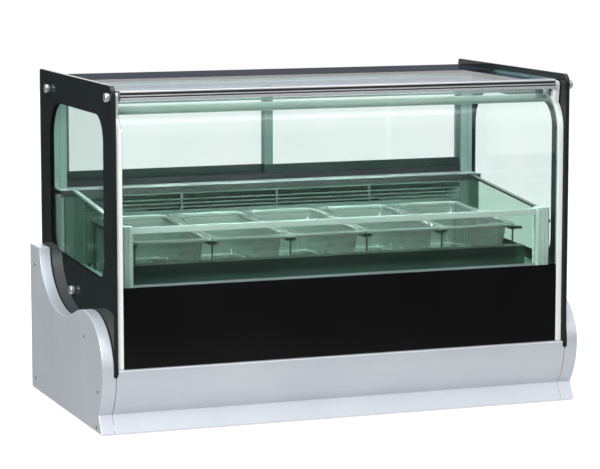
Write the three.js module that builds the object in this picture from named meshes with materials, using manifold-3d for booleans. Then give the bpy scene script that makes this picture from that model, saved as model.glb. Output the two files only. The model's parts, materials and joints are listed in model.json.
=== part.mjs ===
// Countertop ice-cream freezer showcase: a painted base with moulded cheeks, a glass superstructure with a
// curved front pane that swings up, two sliding rear doors, and five lift-out pans over a cooled tank.
//
// Millimetres, +Z up, +X to the customer's right, +Y towards the serving side at the back.
// Inside the cabinet group, x is measured from the middle, y back from the front of the toe and z up from
// the counter. The outer group moves that frame to the middle of the footprint.

import * as THREE from "three";
import { mergeVertices } from "three/addons/utils/BufferGeometryUtils.js";
import Module from "manifold-3d";

const wasm = await Module();
wasm.setup();

// ---- driving dimensions ------------------------------------------------------------------------------

const HALF_WIDTH = 545; // outside faces of the cheek covers
const HEIGHT = 727; // top edge of the side glasses
const FRONT_BULGE = -12.4; // foremost point of the cheeks and of the fascia
const CHEEK_REAR = 569.7;
const GAP = 0.4; // between touching pieces

const SIDE_GLASS = { inner: 509.5, outer: 518.5, front: -9.5, rear: 564, bottom: 125 };
const INSIDE = SIDE_GLASS.inner - GAP; // half width of what fits between the side glasses
const SEAM = SIDE_GLASS.outer - 4; // where the cheeks meet the fascia, under the side glasses

const BULGE = { y: 125, z: 136, depth: 137.4, rise: 110, drop: 146 }; // half ellipses of the front bulge
const CHEEK = { rearTop: 331.4, backRise: 488.5, valleyY: 305, valleyZ: 209, skirt: 3 };
const NECK = { y: 20.7, z: 41 };
const SHEET = 2; // thickness of painted and stainless sheet

const PANE = { front: -2.6, bottom: 138.6, bendZ: 607.8, radius: 72, turn: 68.2, tail: 35, thick: 5 };
const TRIM = { inner: 495.4, outer: 508.5, proud: 0.8, thick: 8 };
const PIVOT = { y: 25, z: 702, stud: 4, bore: 4.4 };

const ROOF = { front: 41, rear: 553, bottom: 708, top: 714 };
const FLANGE_TOP = 300; // level of the tank's rim, which carries the inner glasses
const TANK = { halfWidth: 462, front: 48, rear: 532, floor: 262, chamberTop: 450 };
const DUCT_FRONT = 430; // front of the wall between the pans and the evaporator chamber
const WORKTOP = { front: 428, rear: 562, top: 465 };
const DOOR = { halfSpan: 480, bottom: 470.2, top: 700, thick: 10, meet: 10 };
const FRAME = { stile: 20, endStile: 10, rail: 29 }; // widths of a door frame's members
const DOOR_Y = { inner: 485.5, outer: 500 };

const INNER = { glassY: 38, railBase: 415, railTop: 428, slope: 0.1008, sideX: 475, sideThick: 6 };
const SIDE_RAIL = 5; // height of the rails on the inner side glasses
const POST = { inner: 462.6, outer: 494, front: 30, rear: 52, top: 431 };

const PAN = { count: 5, pitch: 177.7, width: 176, length: 325, depth: 100, wall: 3, rim: 12, lip: 4 };
const RACK = { y: 95, z: 390, tilt: 2.7 }; // front edge of the pan rims, and how far they slope to the front
const BODY_TOP = 222; // underside of the insulation

// ---- materials ---------------------------------------------------------------------------------------

const finish = (color, roughness, metalness, extra = {}) =>
  new THREE.MeshStandardMaterial({ color, roughness, metalness, ...extra });

const silverPaint = finish(0xb4b7c0, 0.45, 0.35);
const blackGlass = finish(0x26282b, 0.08, 0, { transparent: true, opacity: 0.75 });
const clearGlass = finish(0xcfe6dd, 0.05, 0, { transparent: true, opacity: 0.3 });
const aluminium = finish(0xc9ccd0, 0.35, 0.9);
const stainless = finish(0xa9b0ae, 0.3, 0.95);
const chrome = finish(0xd8dadd, 0.12, 1);
const blackPlastic = finish(0x1b1c1e, 0.5, 0);
const rubber = finish(0x202020, 0.9, 0);
const foam = finish(0xe4dcc2, 0.9, 0);
const galvanised = finish(0x9aa0a4, 0.5, 0.8);
const clearPlastic = finish(0xd9ece6, 0.1, 0, { transparent: true, opacity: 0.35 });
const blackEnamel = finish(0x15171a, 0.35, 0.1);
const finMetal = finish(0xb9bdc0, 0.45, 0.9);
const lampWhite = finish(0xf4f6f4, 0.4, 0);

// ---- solids ------------------------------------------------------------------------------------------

const degrees = THREE.MathUtils.degToRad;

function solid(geometry) {
  const bare = geometry.clone();
  bare.deleteAttribute("normal");
  bare.deleteAttribute("uv");
  const merged = mergeVertices(bare, 1e-4);
  const vertProperties = merged.attributes.position.array;
  const triVerts = new Uint32Array(merged.index.array);
  return new wasm.Manifold(new wasm.Mesh({ numProp: 3, vertProperties, triVerts }));
}

function geometryOf(manifold) {
  const mesh = manifold.getMesh();
  const geometry = new THREE.BufferGeometry();
  geometry.setAttribute("position", new THREE.BufferAttribute(new Float32Array(mesh.vertProperties), 3));
  geometry.setIndex(new THREE.BufferAttribute(new Uint32Array(mesh.triVerts), 1));
  geometry.computeVertexNormals();
  return geometry;
}

const join = (...geometries) => geometryOf(geometries.map(solid).reduce((a, b) => a.add(b)));

function cut(geometry, ...tools) {
  const holes = tools.map(solid).reduce((a, b) => a.add(b));
  return geometryOf(solid(geometry).subtract(holes));
}

function box([x0, x1], [y0, y1], [z0, z1]) {
  const geometry = new THREE.BoxGeometry(x1 - x0, y1 - y0, z1 - z0);
  return geometry.translate((x0 + x1) / 2, (y0 + y1) / 2, (z0 + z1) / 2);
}

const extrude = (shape, depth, curveSegments) =>
  new THREE.ExtrudeGeometry(shape, { depth, bevelEnabled: false, steps: 1, curveSegments });

// An outline given as (y, z), carried from x0 to x1.
function alongX(shape, x0, x1, curveSegments = 8) {
  const turn = new THREE.Matrix4().makeBasis(
    new THREE.Vector3(0, 1, 0),
    new THREE.Vector3(0, 0, 1),
    new THREE.Vector3(1, 0, 0),
  );
  return extrude(shape, x1 - x0, curveSegments).applyMatrix4(turn).translate(x0, 0, 0);
}

// An outline given as (x, z), carried from y0 to y1.
const alongY = (shape, y0, y1, curveSegments = 8) =>
  extrude(shape, y1 - y0, curveSegments).rotateX(Math.PI / 2).translate(0, y1, 0);

// An outline given as (x, y), carried from z0 to z1.
const alongZ = (shape, z0, z1, curveSegments = 8) =>
  extrude(shape, z1 - z0, curveSegments).translate(0, 0, z0);

const polygon = (points) => new THREE.Shape(points.map(([a, b]) => new THREE.Vector2(a, b)));

function roundedRectangle(a0, a1, b0, b1, r) {
  const shape = new THREE.Shape();
  shape.moveTo(a0 + r, b0);
  shape.lineTo(a1 - r, b0);
  shape.absarc(a1 - r, b0 + r, r, -Math.PI / 2, 0);
  shape.absarc(a1 - r, b1 - r, r, 0, Math.PI / 2);
  shape.absarc(a0 + r, b1 - r, r, Math.PI / 2, Math.PI);
  shape.absarc(a0 + r, b0 + r, r, Math.PI, (3 * Math.PI) / 2);
  return shape;
}

const rodX = (y, z, r, x0, x1, sides = 16) =>
  new THREE.CylinderGeometry(r, r, x1 - x0, sides).rotateZ(Math.PI / 2).translate((x0 + x1) / 2, y, z);

const rodY = (x, z, r, y0, y1, sides = 16) =>
  new THREE.CylinderGeometry(r, r, y1 - y0, sides).translate(x, (y0 + y1) / 2, z);

const rodZ = (x, y, r, z0, z1, sides = 16) =>
  new THREE.CylinderGeometry(r, r, z1 - z0, sides).rotateX(Math.PI / 2).translate(x, y, (z0 + z1) / 2);

// A profile of (radius, height) points turned about +Z. It starts and ends on the axis.
const turned = (profile, sides) =>
  new THREE.LatheGeometry(profile.map(([r, h]) => new THREE.Vector2(r, h)), sides).rotateX(Math.PI / 2);

// The same x span on the left or the right side.
const span = (side, inner, outer) => (side > 0 ? [inner, outer] : [-outer, -inner]);

// Rings of equally many points, stacked into one closed body.
function loft(rings) {
  const count = rings[0].length;
  const positions = rings.flat(2);
  const index = [];
  for (let level = 0; level + 1 < rings.length; level += 1) {
    for (let i = 0; i < count; i += 1) {
      const next = (i + 1) % count;
      const [a, b] = [level * count + i, level * count + next];
      index.push(a, b, a + count, b, b + count, a + count);
    }
  }
  const last = (rings.length - 1) * count;
  for (let i = 1; i + 1 < count; i += 1) {
    index.push(0, i + 1, i);
    index.push(last, last + i, last + i + 1);
  }
  const geometry = new THREE.BufferGeometry();
  geometry.setAttribute("position", new THREE.BufferAttribute(new Float32Array(positions), 3));
  geometry.setIndex(index);
  return geometry;
}

// ---- the assembly ------------------------------------------------------------------------------------

const cabinet = new THREE.Group();
cabinet.position.y = -(FRONT_BULGE + CHEEK_REAR) / 2;

function add(name, geometry, material, parent = cabinet) {
  const mesh = new THREE.Mesh(geometry, material);
  mesh.name = name;
  parent.add(mesh);
  return mesh;
}

const SIDES = [
  ["left", -1],
  ["right", 1],
];

// ---- painted base ------------------------------------------------------------------------------------

// The front line shared by the cheeks and the fascia: bulge, neck and toe, from the top down.
function frontLine(shape) {
  const neckAngle = Math.acos((NECK.y - BULGE.y) / -BULGE.depth);
  shape.absellipse(BULGE.y, BULGE.z, BULGE.depth, BULGE.drop, Math.PI, Math.PI + neckAngle);
  shape.lineTo(NECK.y, NECK.z);
  shape.lineTo(0, CHEEK.skirt);
}

function cheekOutline() {
  const { rearTop, backRise, valleyY, valleyZ, skirt } = CHEEK;
  const crest = BULGE.z + BULGE.rise;
  const shape = new THREE.Shape();
  shape.moveTo(CHEEK_REAR, skirt);
  shape.lineTo(CHEEK_REAR, rearTop);
  shape.lineTo(backRise, rearTop);
  shape.absellipse(valleyY, rearTop, backRise - valleyY, rearTop - valleyZ, 0, -Math.PI / 2, true);
  shape.bezierCurveTo(valleyY - 70, valleyZ, BULGE.y + 60, crest, BULGE.y, crest);
  shape.absellipse(BULGE.y, BULGE.z, BULGE.depth, BULGE.rise, Math.PI / 2, Math.PI);
  frontLine(shape);
  return shape;
}

// The outline's points moved inwards by a distance. The outline runs anticlockwise.
function inset(points, distance) {
  return points.map((point, i) => {
    const before = points[(i + points.length - 1) % points.length];
    const after = points[(i + 1) % points.length];
    const a = new THREE.Vector2().subVectors(point, before).normalize();
    const b = new THREE.Vector2().subVectors(after, point).normalize();
    const normal = new THREE.Vector2(-a.y - b.y, a.x + b.x).normalize();
    return point.clone().addScaledVector(normal, distance / (normal.x * -a.y + normal.y * a.x));
  });
}

function withoutRepeats(points) {
  const kept = points.filter((point, i) => i === 0 || point.distanceTo(points[i - 1]) > 0.05);
  if (kept[0].distanceTo(kept[kept.length - 1]) < 0.05) kept.pop();
  return THREE.ShapeUtils.isClockWise(kept) ? kept.reverse() : kept;
}

// A painted shell over the lower side glass. Below the glass it reaches in to meet the fascia.
function cheekCover(name, side) {
  const outline = withoutRepeats(cheekOutline().getPoints(9));
  const inner = inset(outline, SHEET);
  const shell = alongX(new THREE.Shape(outline), ...span(side, SEAM, HALF_WIDTH));
  const hollow = alongX(new THREE.Shape(inner), ...span(side, SEAM - 1, HALF_WIDTH - SHEET));
  const glassX = span(side, SEAM - 1, SIDE_GLASS.outer + GAP);
  const glassRoom = box(glassX, [FRONT_BULGE - 1, 600], [SIDE_GLASS.bottom - GAP, 400]);
  add(name, cut(shell, hollow, glassRoom), silverPaint);
}

// The folded front sheet: a lip under the front pane, the bulge, the neck and a kicked-out toe.
function frontFascia() {
  const halfWidth = SEAM - GAP;
  const [lip, hem] = [8, 26]; // how far back the turned-in top and bottom edges reach
  const front = new THREE.Shape();
  front.moveTo(FRONT_BULGE, BULGE.z);
  frontLine(front);
  const outside = front.getPoints(10);
  const line = outside.filter((point, i) => i === 0 || point.distanceTo(outside[i - 1]) > 0.05);
  const skin = (offset) =>
    line.map((point, i) => {
      const a = line[Math.max(i - 1, 0)];
      const b = line[Math.min(i + 1, line.length - 1)];
      const along = new THREE.Vector2().subVectors(b, a).normalize();
      return new THREE.Vector2(point.x - along.y * offset, point.y + along.x * offset);
    });
  const inside = skin(SHEET).reverse();
  const sheet = new THREE.Shape([...line, ...inside]);
  const lipBox = box([-halfWidth, halfWidth], [FRONT_BULGE, lip], [BULGE.z - 0.5, BULGE.z + SHEET]);
  const hemBox = box([-halfWidth, halfWidth], [0.2, hem], [CHEEK.skirt, CHEEK.skirt + SHEET]);
  const roomY = [FRONT_BULGE - 1, 60];
  const roomZ = [SIDE_GLASS.bottom - GAP, 200];
  const glassRoom = SIDES.map(([, side]) => box(span(side, INSIDE, 530), roomY, roomZ));
  const folded = join(alongX(sheet, -halfWidth, halfWidth), lipBox, hemBox);
  add("front_fascia", cut(folded, ...glassRoom), silverPaint);
}

// The machine tray: a floor with two side walls that carry the insulated tank.
function baseChassis() {
  const [front, rear, floor] = [30, 552, 12];
  const wall = 503;
  const outline = polygon([
    [-wall, floor],
    [wall, floor],
    [wall, BODY_TOP - GAP],
    [wall - SHEET, BODY_TOP - GAP],
    [wall - SHEET, floor + SHEET],
    [-wall + SHEET, floor + SHEET],
    [-wall + SHEET, BODY_TOP - GAP],
    [-wall, BODY_TOP - GAP],
  ]);
  add("base_chassis", alongY(outline, front, rear), galvanised);
}

function feet() {
  const profile = [
    [0, 0],
    [14, 0],
    [17, 3],
    [17, 9],
    [11, 11.6],
    [0, 11.6],
  ];
  for (const [row, y] of [["front", 75], ["rear", 505]]) {
    for (const [name, side] of SIDES) {
      const foot = add("foot_" + row + "_" + name, turned(profile, 16), rubber);
      foot.position.set(side * 440, y, 0);
    }
  }
}

// The serving side's panel, with air slots for the condensing unit and cut-outs for the controls.
const CONTROLS = { z: 175, knobX: -300, powerX: -400, lightX: -360, inletX: -430, inletZ: 70 };
const PANEL_Y = [558, 560];

function rearServicePanel() {
  const plate = box([-INSIDE + 2, INSIDE - 2], PANEL_Y, [16, WORKTOP.top - 22]);
  const through = [PANEL_Y[0] - 5, PANEL_Y[1] + 5];
  const slots = [];
  for (const x of [60, 270]) {
    for (let row = 0; row < 8; row += 1) {
      const z = 60 + row * 17;
      slots.push(box([x, x + 180], through, [z, z + 6]));
    }
  }
  const holes = [
    box([CONTROLS.powerX - 10.5, CONTROLS.powerX + 10.5], through, [CONTROLS.z - 14, CONTROLS.z + 14]),
    box([CONTROLS.lightX - 10.5, CONTROLS.lightX + 10.5], through, [CONTROLS.z - 14, CONTROLS.z + 14]),
    rodY(CONTROLS.knobX, CONTROLS.z, 4.4, ...through),
    box([CONTROLS.inletX - 14, CONTROLS.inletX + 14], through, [CONTROLS.inletZ - 11, CONTROLS.inletZ + 11]),
  ];
  add("rear_service_panel", cut(plate, ...slots, ...holes), silverPaint);
}

// ---- insulated tank ----------------------------------------------------------------------------------

const PIPE_HOLE = { x: -430, y: 505, r: 9 };

function insulationTub() {
  const [front, rear, halfWidth] = [8, 556, 506];
  const low = box([-halfWidth, halfWidth], [front, rear], [BODY_TOP, FLANGE_TOP - SHEET - GAP]);
  const high = box([-halfWidth, halfWidth], [DUCT_FRONT + 4, rear], [BODY_TOP + 20, TANK.chamberTop]);
  const wall = TANK.halfWidth + SHEET + GAP;
  const cavity = box(
    [-wall, wall],
    [TANK.front - SHEET - GAP, TANK.rear + SHEET + GAP],
    [TANK.floor - SHEET - GAP, 500],
  );
  const pipeHole = rodZ(PIPE_HOLE.x, PIPE_HOLE.y, PIPE_HOLE.r, 200, 300, 12);
  add("insulation_tub", cut(join(low, high), cavity, pipeHole), foam);
}

function tankLiner() {
  const wall = TANK.halfWidth + SHEET;
  const bottom = TANK.floor - SHEET;
  const tub = box([-wall, wall], [TANK.front - SHEET, TANK.rear + SHEET], [bottom, FLANGE_TOP]);
  const chamber = box([-wall, wall], [DUCT_FRONT + 6, TANK.rear + SHEET], [bottom, TANK.chamberTop]);
  const flange = box([-506, 506], [6, DUCT_FRONT + 3.4], [FLANGE_TOP - SHEET, FLANGE_TOP]);
  const hollow = box([-TANK.halfWidth, TANK.halfWidth], [TANK.front, TANK.rear], [TANK.floor, 500]);
  const pipeHole = rodZ(PIPE_HOLE.x, PIPE_HOLE.y, PIPE_HOLE.r, 200, 300, 12);
  add("tank_liner", cut(join(tub, chamber, flange), hollow, pipeHole), stainless);
}

// The wall behind the pans: plain end posts and a long window of slats that the cold air blows through.
function airLouvre() {
  const [bottom, top] = [FLANGE_TOP + GAP, WORKTOP.top - 14.4];
  const plate = box([-502, 502], [DUCT_FRONT, DUCT_FRONT + SHEET], [bottom, top]);
  const posts = SIDES.map(([, side]) => box(span(side, 468, 500), [424, DUCT_FRONT + 1], [bottom, top]));
  const window = box([-456, 456], [DUCT_FRONT - 1, DUCT_FRONT + 4], [411, 447]);
  const slats = [415.5, 424.5, 433.5].map((z) =>
    box([-458, 458], [DUCT_FRONT - 2, DUCT_FRONT + 5], [z, z + 2.4]),
  );
  const bars = [-228, 0, 228].map((x) =>
    box([x - 3, x + 3], [DUCT_FRONT + 1, DUCT_FRONT + 7], [408, 449.5]),
  );
  add("air_louvre", join(cut(join(plate, ...posts), window), ...slats, ...bars), stainless);
}

function rearWorktop() {
  const { front, rear, top } = WORKTOP;
  const outline = polygon([
    [front, top - 14],
    [front, top],
    [rear, top],
    [rear, top - 20],
    [rear - SHEET, top - 20],
    [rear - SHEET, top - SHEET],
    [front + SHEET, top - SHEET],
    [front + SHEET, top - 14],
  ]);
  add("rear_worktop", alongX(outline, -INSIDE, INSIDE), stainless);
}

// ---- inner glass guard -------------------------------------------------------------------------------

function innerPost(name, side) {
  const [a, b] = [POST.inner, POST.outer];
  const groove = 2;
  const outline = [
    [a, POST.rear],
    [a, POST.front + 3],
    [a + 3, POST.front],
    [a + 10, POST.front],
    [a + 10, POST.front + groove],
    [a + 13, POST.front + groove],
    [a + 13, POST.front],
    [a + 20, POST.front],
    [a + 20, POST.front + groove],
    [a + 23, POST.front + groove],
    [a + 23, POST.front],
    [b - 3, POST.front],
    [b, POST.front + 3],
    [b, POST.rear],
  ].map(([x, y]) => [side * x, y]);
  add(name, alongZ(polygon(outline), FLANGE_TOP + GAP, POST.top), aluminium);
}

const sideRailTop = (y) => INNER.railTop + INNER.slope * (y - 41);

function innerGuard() {
  const width = POST.inner - GAP;
  const glassZ = [FLANGE_TOP + GAP, INNER.railBase - GAP];
  const glass = box([-width, width], [INNER.glassY, INNER.glassY + 6], glassZ);
  add("inner_front_glass", glass, clearGlass);
  const rail = roundedRectangle(INNER.glassY - 4, INNER.glassY + 10, INNER.railBase, INNER.railTop, 2);
  add("inner_front_rail", alongX(rail, -width, width, 2), aluminium);
  const [front, rear] = [POST.rear + 1, 423.4];
  for (const [label, side] of SIDES) {
    innerPost("inner_post_" + label, side);
    const pane = polygon([
      [front, FLANGE_TOP + GAP],
      [rear, FLANGE_TOP + GAP],
      [rear, sideRailTop(rear) - SIDE_RAIL - GAP],
      [front, sideRailTop(front) - SIDE_RAIL - GAP],
    ]);
    const railSide = polygon([
      [front, sideRailTop(front) - SIDE_RAIL],
      [rear, sideRailTop(rear) - SIDE_RAIL],
      [rear, sideRailTop(rear)],
      [front, sideRailTop(front)],
    ]);
    const paneX = span(side, INNER.sideX, INNER.sideX + INNER.sideThick);
    const railX = span(side, INNER.sideX - 2, INNER.sideX + INNER.sideThick + 2);
    add("inner_side_glass_" + label, alongX(pane, ...paneX), clearGlass);
    add("inner_side_rail_" + label, alongX(railSide, ...railX), aluminium);
  }
}

// ---- pans and their rack -----------------------------------------------------------------------------

const serving = new THREE.Group();
serving.position.set(0, RACK.y, RACK.z);
serving.rotation.x = degrees(RACK.tilt);
cabinet.add(serving);

function ring(width, length, radius, z) {
  const points = roundedRectangle(-width / 2, width / 2, -length / 2, length / 2, radius).getPoints(2);
  return withoutRepeats(points).map(({ x, y }) => [x, y + PAN.length / 2, z]);
}

function panGeometry() {
  const { width, length, depth, wall, rim, lip } = PAN;
  const [bodyWidth, bodyLength] = [width - 2 * rim, length - 2 * rim];
  const taper = 8;
  return loft([
    ring(bodyWidth - taper - 10, bodyLength - taper - 10, 22, -depth),
    ring(bodyWidth - taper, bodyLength - taper, 26, -depth + 6),
    ring(bodyWidth, bodyLength, 26, -wall),
    ring(width - 4, length - 4, 12, -wall),
    ring(width - 4, length - 4, 12, -wall - lip),
    ring(width, length, 14, -wall - lip),
    ring(width, length, 14, -1),
    ring(width - 2, length - 2, 13, 0),
    ring(bodyWidth - 2 * wall + 3, bodyLength - 2 * wall + 3, 25, 0),
    ring(bodyWidth - 2 * wall, bodyLength - 2 * wall, 23, -wall),
    ring(bodyWidth - taper - 2 * wall, bodyLength - taper - 2 * wall, 23, -depth + 9),
    ring(bodyWidth - taper - 2 * wall - 10, bodyLength - taper - 2 * wall - 10, 19, -depth + wall),
  ]);
}

const panX = (i) => (i - (PAN.count - 1) / 2) * PAN.pitch;

function pans() {
  for (let i = 0; i < PAN.count; i += 1) {
    const pan = add("pan_" + (i + 1), panGeometry(), clearPlastic, serving);
    pan.position.x = panX(i);
  }
}

// Bars under the pans' long rims, joined by a strip at the rear and by thin legs down to the apron's shelf at
// the front. The rack stands on four legs on the tank floor, and an apron hangs across its front.
function panRack() {
  const top = -PAN.wall - PAN.lip - GAP;
  const barHeight = 7;
  const edge = (PAN.count * PAN.pitch) / 2;
  const [front, rear] = [3.4, PAN.length - 3.4];
  const shelf = -50;
  const pieces = [box([-edge + 1, edge - 1], [rear - 6.6, rear], [top - 3, top])];
  for (let i = 0; i <= PAN.count; i += 1) {
    const x = (i - PAN.count / 2) * PAN.pitch;
    const outerEnd = i === 0 || i === PAN.count;
    const half = outerEnd ? 5 : 11;
    const middle = outerEnd ? Math.sign(x) * (edge - 6) : x;
    pieces.push(box([middle - half, middle + half], [front, rear], [top - barHeight, top]));
    pieces.push(box([middle - 1.2, middle + 1.2], [front + 1, front + 5], [shelf, top - 1]));
  }
  for (const [, side] of SIDES) {
    for (const y of [70, rear - 6.6]) {
      pieces.push(box(span(side, edge - 11, edge - 5), [y, y + 6.6], [-126, top - 1]));
    }
  }
  const apronX = 459;
  pieces.push(box([-apronX, apronX], [-16, -14], [-101, shelf + 2]));
  pieces.push(box([-apronX, apronX], [-16, front + 6], [shelf, shelf + 2]));
  for (const [, side] of SIDES) {
    pieces.push(box(span(side, edge - 11, edge - 5), [-15, 74], [-92, -84]));
    pieces.push(box(span(side, edge - 2, edge + 16), [front, front + 14], [top - barHeight + 1, top - 1]));
  }
  add("pan_rack", join(...pieces), stainless, serving);
}

// ---- glass superstructure ----------------------------------------------------------------------------

const BOLTS = [
  ["front", 5, 702.6],
  ["rear", 479, 688.2],
  ["lower", 292, 264],
];

function sideGlass(name, side) {
  const { front, rear, bottom } = SIDE_GLASS;
  const [bigCorner, smallCorner] = [20, 8];
  const shape = new THREE.Shape();
  shape.moveTo(front, bottom);
  shape.lineTo(rear, bottom);
  shape.absarc(rear - smallCorner, HEIGHT - smallCorner, smallCorner, 0, Math.PI / 2);
  shape.absarc(front + bigCorner, HEIGHT - bigCorner, bigCorner, Math.PI / 2, Math.PI);
  const holes = BOLTS.map(([, y, z]) => rodX(y, z, 6.4, ...span(side, 500, 530), 12));
  add(name, cut(alongX(shape, ...span(side, SIDE_GLASS.inner, SIDE_GLASS.outer)), ...holes), blackGlass);
}

function glassBolts(label, side) {
  const head = 12;
  const washer = 0.4;
  const shank = SIDE_GLASS.outer - SIDE_GLASS.inner + washer - 0.2;
  const profile = [
    [0, -shank],
    [5.8, -shank],
    [5.8, 0],
    [9.8, 0],
    [9.8, 8.6],
    [8.2, 11],
    [5, head],
    [0, head],
  ];
  for (const [place, y, z] of BOLTS) {
    const geometry = turned(profile, 12).rotateY((side * Math.PI) / 2);
    const bolt = add("glass_bolt_" + place + "_" + label, geometry, chrome);
    bolt.position.set(side * (SIDE_GLASS.outer + washer), y, z);
  }
}

function topGlass() {
  const outline = roundedRectangle(-INSIDE, INSIDE, ROOF.front, ROOF.rear, 3);
  add("top_glass", alongZ(outline, ROOF.bottom, ROOF.top, 2), blackGlass);
}

// A ribbed extrusion across the top, notched at its ends for the front pane's arms, with a stud at each end.
function topFrontProfile() {
  const outline = polygon([
    [12, 693.5],
    [10, 695.5],
    [10, 699],
    [12.5, 700],
    [12.5, 702],
    [10, 703],
    [10, 706.5],
    [12.5, 707.5],
    [12.5, 709.5],
    [10.5, 710.5],
    [10.5, 713],
    [12, 714.5],
    [38, 714.5],
    [40.5, 713],
    [40.5, 707.5],
    [64, 707.5],
    [64, 691],
    [46, 691],
    [40, 693.5],
  ]);
  const bar = alongX(outline, -INSIDE, INSIDE);
  const endOfBar = TRIM.inner - 1;
  const notches = SIDES.map(([, side]) => box(span(side, endOfBar, 520), [0, 40], [680, 720]));
  const studs = SIDES.map(([, side]) => rodX(PIVOT.y, PIVOT.z, PIVOT.stud, ...span(side, 480, 507), 16));
  add("top_front_profile", join(cut(bar, ...notches), ...studs), aluminium);
}

// The pane's cross-section, as a sheet whose outer face stands proud of the glass line by an offset.
function paneSection(proud, thick) {
  const { front, bottom, bendZ, radius, turn, tail } = PANE;
  const angle = degrees(turn);
  const centre = front + radius;
  const end = (r) => [
    centre - r * Math.cos(angle) + tail * Math.sin(angle),
    bendZ + r * Math.sin(angle) + tail * Math.cos(angle),
  ];
  const [outer, inner] = [radius + proud, radius + proud - thick];
  const shape = new THREE.Shape();
  shape.moveTo(centre - outer, bottom);
  shape.absarc(centre, bendZ, outer, Math.PI, Math.PI - angle, true);
  shape.lineTo(...end(outer));
  shape.lineTo(...end(inner));
  shape.absarc(centre, bendZ, inner, Math.PI - angle, Math.PI, false);
  shape.lineTo(centre - inner, bottom);
  return shape;
}

function frontPane() {
  const halfWidth = TRIM.inner - GAP;
  add("front_glass", alongX(paneSection(0, PANE.thick), -halfWidth, halfWidth, 10), clearGlass);
  const arm = polygon([
    [PIVOT.y - 8.5, PIVOT.z],
    [PIVOT.y - 4, 659],
    [42, 670],
    [PIVOT.y + 8.5, PIVOT.z],
  ]);
  for (const [label, side] of SIDES) {
    const x = span(side, TRIM.inner, TRIM.outer);
    const strip = alongX(paneSection(TRIM.proud, TRIM.thick), ...x, 10);
    const eye = rodX(PIVOT.y, PIVOT.z, 8.6, ...x, 20);
    const bore = rodX(PIVOT.y, PIVOT.z, PIVOT.bore, ...span(side, 490, 515), 20);
    add("glass_trim_" + label, cut(join(strip, alongX(arm, ...x), eye), bore), aluminium);
  }
}

function lamp() {
  const outline = polygon([
    [68, 707.6],
    [68, 697],
    [73, 693],
    [87, 693],
    [92, 697],
    [92, 707.6],
  ]);
  add("lamp", alongX(outline, -480, 480), lampWhite);
}

// ---- sliding rear doors ------------------------------------------------------------------------------

const TRACK = { front: 482, ribs: [482, 496.6, 511.1], rib: 2.4 };

function doorTracks() {
  const sillBase = WORKTOP.top + GAP;
  const rearEdge = TRACK.ribs[2] + TRACK.rib;
  const sill = [box([-480.6, 480.6], [TRACK.front, rearEdge], [sillBase, 469])];
  const head = [
    box([-INSIDE, INSIDE], [TRACK.front, 526], [703, ROOF.bottom - GAP]),
    box([-INSIDE, INSIDE], [TRACK.ribs[2] + 0.5, 526], [678, 704]),
  ];
  for (const y of TRACK.ribs) sill.push(box([-480.6, 480.6], [y, y + TRACK.rib], [sillBase, 480]));
  for (const y of TRACK.ribs.slice(0, 2)) head.push(box([-INSIDE, INSIDE], [y, y + TRACK.rib], [690, 704]));
  add("door_sill_track", join(...sill), blackPlastic);
  add("door_head_track", join(...head), aluminium);
}

function rearUpright(name, side) {
  const [a, b] = [481, INSIDE];
  const outline = [
    [a, 480],
    [a + 15, 480],
    [a + 15, 482],
    [a + 17, 482],
    [a + 17, 480],
    [b, 480],
    [b, 511],
    [a, 511],
  ].map(([x, y]) => [side * x, y]);
  add(name, alongZ(polygon(outline), WORKTOP.top + GAP, 689.6), aluminium);
}

// A framed pane. Its pull is a flat grip on the inner door and a bar on the outer door.
function slidingDoor(label, doorX, paneX, y, pullX, pullDepth) {
  const { bottom, top, thick } = DOOR;
  const paneZ = [bottom + FRAME.rail, top - FRAME.stile];
  const frame = cut(box(doorX, [y, y + thick], [bottom, top]), box(paneX, [y - 5, y + 20], paneZ));
  const pull = box([pullX - 4, pullX + 4], [y + thick - 1, y + thick + pullDepth], [545, 635]);
  add("door_frame_" + label, join(frame, pull), aluminium);
  const within = ([low, high]) => [low + GAP, high - GAP];
  add("door_pane_" + label, box(within(paneX), [y + 3, y + 7], within(paneZ)), clearGlass);
}

function slidingDoors() {
  const { halfSpan, meet } = DOOR;
  const [outer, inner] = [halfSpan - FRAME.endStile, FRAME.stile - meet];
  const pullX = halfSpan - FRAME.endStile / 2;
  slidingDoor("left", [-halfSpan, meet], [-outer, -inner], DOOR_Y.outer, -pullX, 14);
  slidingDoor("right", [-meet, halfSpan], [inner, outer], DOOR_Y.inner, pullX, 3);
}

// ---- refrigeration -----------------------------------------------------------------------------------

function compressor() {
  const can = turned(
    [
      [0, 0],
      [62, 0],
      [74, 12],
      [76, 60],
      [80, 62],
      [80, 68],
      [76, 70],
      [70, 128],
      [52, 148],
      [22, 158],
      [0, 160],
    ],
    24,
  ).translate(0, 0, 12);
  const plate = box([-88, 88], [-62, 62], [4, 16]);
  const feetBars = [-1, 1].map((s) => box([s * 75 - 12, s * 75 + 12], [-70, 70], [0, 6]));
  const terminalBox = box([-20, 20], [-98, -60], [50, 105]);
  const body = add("compressor", join(can, plate, ...feetBars, terminalBox), blackEnamel);
  body.position.set(-220, 290, 14.6);
}

// A finned block with return bends showing at one end.
function finnedCoil(width, depth, height, rows, bend) {
  const pieces = [box([-width / 2, width / 2], [-depth / 2, depth / 2], [0, height])];
  const circle = new THREE.Shape();
  circle.absarc(0, 0, 4.5, 0, 2 * Math.PI);
  for (let row = 0; row < rows; row += 1) {
    const z = (height * (row + 0.5)) / rows;
    const path = new THREE.CatmullRomCurve3([
      new THREE.Vector3(width / 2 - 3, -bend, z),
      new THREE.Vector3(width / 2 + 8, -bend, z),
      new THREE.Vector3(width / 2 + 16, 0, z),
      new THREE.Vector3(width / 2 + 8, bend, z),
      new THREE.Vector3(width / 2 - 3, bend, z),
    ]);
    pieces.push(new THREE.ExtrudeGeometry(circle, { steps: 8, curveSegments: 3, extrudePath: path }));
  }
  return join(...pieces);
}

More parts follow.
